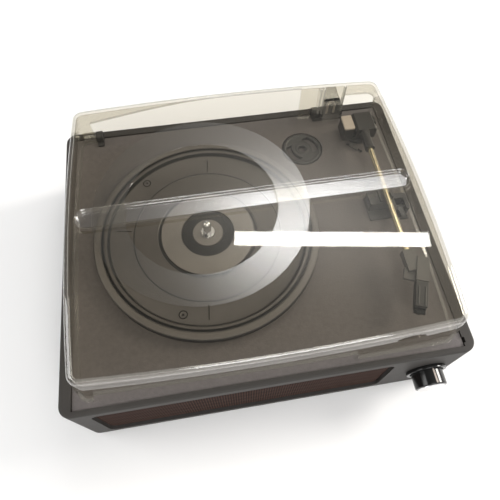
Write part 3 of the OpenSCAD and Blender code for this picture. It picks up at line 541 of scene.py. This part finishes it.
def make_arch():
    """Pale arch-shaped rib that covers the one on the hinge leaf's inner face"""
    foot, top = HINGE_Z + 1.9, HINGE_Z + 13
    outer_r, inner_r = 4.7, 2.5
    outline = [(HINGE_X + outer_r, foot), *arc(HINGE_X, top, outer_r, 0, 180, 16), (HINGE_X - outer_r, foot),
               (HINGE_X - inner_r, foot), *arc(HINGE_X, top, inner_r, 180, 0, 16), (HINGE_X + inner_r, foot)]
    arch = Shape().prism(outline, "y", 120.05, 121.05).make("hinge_arch", MATERIALS["pale_plastic"])
    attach(arch, "cover")


make_cover()
make_ring()
make_arch()

# ---------------------------------------------------------------- painted shade in the platter's grooves

PLATTER_FLOOR_Z = 90.0
PORTS = ((79.0, 129.1), (77.4, -111.5))  # belt ports: radius, angle
PORT_RING = (2.92, 3.68)
TICKS = (84, -96, 170, -10)
TICK_FROM, TICK_TO, TICK_HALF = 67.1, 79.9, 0.38


def make_groove_shade():
    """Black inserts as painted shade, seen as dark lines down in the platter's tick grooves and in the rings
    round its belt ports
    """
    groove_shade = Shape()
    middle = SPINDLE / MM
    lo, hi = PLATTER_FLOOR_Z - 0.38, PLATTER_FLOOR_Z - 0.02
    for angle in TICKS:
        turn = Matrix.Rotation(math.radians(angle), 2)
        tick = [turn @ Vector(p) for p in box_outline(TICK_FROM, TICK_TO, -TICK_HALF, TICK_HALF)]
        groove_shade.prism([(middle.x + p.x, middle.y + p.y) for p in tick], "z", lo, hi)
    inner, outer = PORT_RING
    for radius, angle in PORTS:
        cx = middle.x + radius * math.cos(math.radians(angle))
        cy = middle.y + radius * math.sin(math.radians(angle))
        groove_shade.loft([[(x, y, z) for x, y in arc(cx, cy, r, 0, 352.5, 47)]
                    for r, z in ((inner, lo), (outer, lo), (outer, hi), (inner, hi))], around=True)
    # painted shade: the inserts are black gloss so that the grooves read dark
    groove_shade = groove_shade.make("platter_groove_shade", MATERIALS["black_gloss"])
    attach(groove_shade, "platter")


make_groove_shade()

# ---------------------------------------------------------------- grille cloth

GRILLE = [[v / MM for v in p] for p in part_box("front_grille")]
THREAD_PITCH = 3.0
CLOTH_CORNER, CLOTH_LOW = 6.7, 0.15  # corner radius, and the least relief between the threads


def make_cloth():
    """Woven cloth as real relief: threads crossing on the slant, inside a round-cornered outline"""
    (x0, _, z0), (x1, _, z1) = GRILLE
    step = THREAD_PITCH / 4
    columns, rows = round((x1 - x0) / step), round((z1 - z0) / step)
    k = math.pi * 2 / THREAD_PITCH / math.sqrt(2)
    bm = bmesh.new()
    front = []
    for j in range(rows + 1):
        z = z0 + (z1 - z0) * j / rows
        off = max(CLOTH_CORNER - min(z - z0, z1 - z), 0)
        pull = CLOTH_CORNER - math.sqrt(CLOTH_CORNER * CLOTH_CORNER - off * off)
        line = []
        for i in range(columns + 1):
            x = x0 + pull + (x1 - x0 - 2 * pull) * i / columns
            wave = 0.5 + 0.5 * math.sin(k * (x + z)) * math.sin(k * (x - z))
            rim = min(i, columns - i, j, rows - j) == 0
            relief = 0 if rim else CLOTH_LOW + (CLOTH_BACK - CLOTH_FRONT - CLOTH_LOW) * wave
            line.append(bm.verts.new(Vector((x, CLOTH_BACK - relief, z)) * MM))
        front.append(line)
    for a, b in zip(front, front[1:]):
        for i in range(columns):
            bm.faces.new((a[i], a[i + 1], b[i + 1], b[i]))
    left, right = [line[0] for line in front], [line[-1] for line in front]
    loop = front[0][:-1] + right[:-1] + front[-1][:0:-1] + left[:0:-1]
    back = [bm.verts.new(v.co + Vector((0, 0.1 * MM, 0))) for v in loop]
    for i in range(len(loop)):
        j = (i + 1) % len(loop)
        bm.faces.new((loop[j], loop[i], back[i], back[j]))
    bm.faces.new(back)
    bmesh.ops.recalc_face_normals(bm, faces=bm.faces)
    mesh = bpy.data.meshes.new("grille_weave")
    bm.to_mesh(mesh)
    bm.free()
    mesh.materials.append(MATERIALS["grille_cloth"])
    for p in mesh.polygons:
        p.use_smooth = True
    mesh.set_sharp_from_angle(angle=math.radians(60))
    o = bpy.data.objects.new("grille_weave", mesh)
    bpy.context.scene.collection.objects.link(o)
    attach(o, "base")
    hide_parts("front_grille")


make_cloth()

# ---------------------------------------------------------------- stage, light and camera

floor_mat = Mat("floor_pale", (0.90, 0.90, 0.90), rough=0.9, spec=0.1)
floor_mat.mottle((0.89, 0.89, 0.89), (0.91, 0.91, 0.91), 3)
bpy.ops.mesh.primitive_plane_add(size=8, location=(0, 0, 0))
floor = bpy.context.object
floor.name = "floor"
floor.data.materials.append(floor_mat.m)


def lamp(name, loc, size, power, colour=(1, 1, 1)):
    """A square softbox that faces the origin"""
    d = bpy.data.lights.new(name, "AREA")
    d.energy = power
    d.color = colour
    d.size = size
    o = bpy.data.objects.new(name, d)
    bpy.context.scene.collection.objects.link(o)
    o.location = loc
    o.rotation_mode = "QUATERNION"
    o.rotation_quaternion = (-Vector(loc)).to_track_quat("-Z", "Y")
    return o


lamp("key", (2.3, 0.3, 1.3), 0.8, 52, (1.0, 0.96, 0.91))
lamp("fill", (-1.6, 0.1, 1.3), 1.2, 16)
lamp("front", (0.3, -1.6, 1.8), 1.2, 26)
# the long tube lamp that the cover mirrors: it faces straight down
strip = lamp("strip", (0.455, 0.66, 1.5), 0.8, 4.0)
strip.data.shape = "RECTANGLE"
strip.data.size_y = 0.065
strip.rotation_mode = "XYZ"
strip.rotation_euler = (0, 0, math.radians(-9.35))

# the softbox behind the strip: its direction, its level axis and its half widths as sines
GLOW = Vector((0.208, 0.495, 0.843)).normalized()
GLOW_ACROSS = GLOW.cross(Vector((0, 0, 1))).normalized()
GLOW_ALONG = GLOW.cross(GLOW_ACROSS)
GLOW_HALF = (0.22, 0.13)
GLOW_POWER = 2.05


def make_world():
    """Soft room: bright in front and to the right, dim behind on the left, with one soft glow"""
    world = bpy.data.worlds.new("studio")
    world.use_nodes = True
    t = world.node_tree
    back = t.nodes["Background"]
    back.inputs[0].default_value = (1.0, 0.985, 0.96, 1)
    way = t.nodes.new("ShaderNodeTexCoord").outputs["Generated"]

    def along(axis):
        n = t.nodes.new("ShaderNodeVectorMath")
        n.operation = "DOT_PRODUCT"
        n.inputs[1].default_value = axis
        t.links.new(way, n.inputs[0])
        return n.outputs["Value"]

    def sum_up(kind, a, b, c=0.0):
        n = t.nodes.new("ShaderNodeMath")
        n.operation = kind
        for i, v in enumerate((a, b, c)):
            if isinstance(v, (int, float)):
                n.inputs[i].default_value = v
            else:
                t.links.new(v, n.inputs[i])
        return n.outputs[0]

    span = t.nodes.new("ShaderNodeMapRange")
    span.interpolation_type = "SMOOTHSTEP"
    span.inputs["From Min"].default_value = -0.7
    span.inputs["From Max"].default_value = 0.9
    span.inputs["To Min"].default_value = 0.08
    span.inputs["To Max"].default_value = 0.70
    t.links.new(along(Vector((0.75, -0.66, 0.0))), span.inputs["Value"])
    spread = 0.0
    for axis, half in zip((GLOW_ACROSS, GLOW_ALONG), GLOW_HALF):
        off = sum_up("DIVIDE", along(axis), half)
        spread = sum_up("MULTIPLY_ADD", off, off, spread)
    lobe = sum_up("POWER", math.e, sum_up("MULTIPLY", spread, -1.0))
    lobe = sum_up("MULTIPLY", lobe, sum_up("GREATER_THAN", along(GLOW), 0.0))
    t.links.new(sum_up("MULTIPLY_ADD", lobe, GLOW_POWER, span.outputs["Result"]), back.inputs[1])
    bpy.context.scene.world = world


make_world()

cam_data = bpy.data.cameras.new("camera")
cam = bpy.data.objects.new("camera", cam_data)
bpy.context.scene.collection.objects.link(cam)
cam.location = (-0.0345, -0.2094, 0.4539)
cam.rotation_euler = (math.radians(29.05), math.radians(-1.11), math.radians(-9.55))
cam_data.lens = 34.2
cam_data.shift_x = -0.0155
cam_data.shift_y = -0.0244
cam_data.clip_start = 0.01
bpy.context.scene.camera = cam
bpy.context.scene.view_settings.view_transform = "Standard"
bpy.context.scene.cycles.transparent_max_bounces = 24
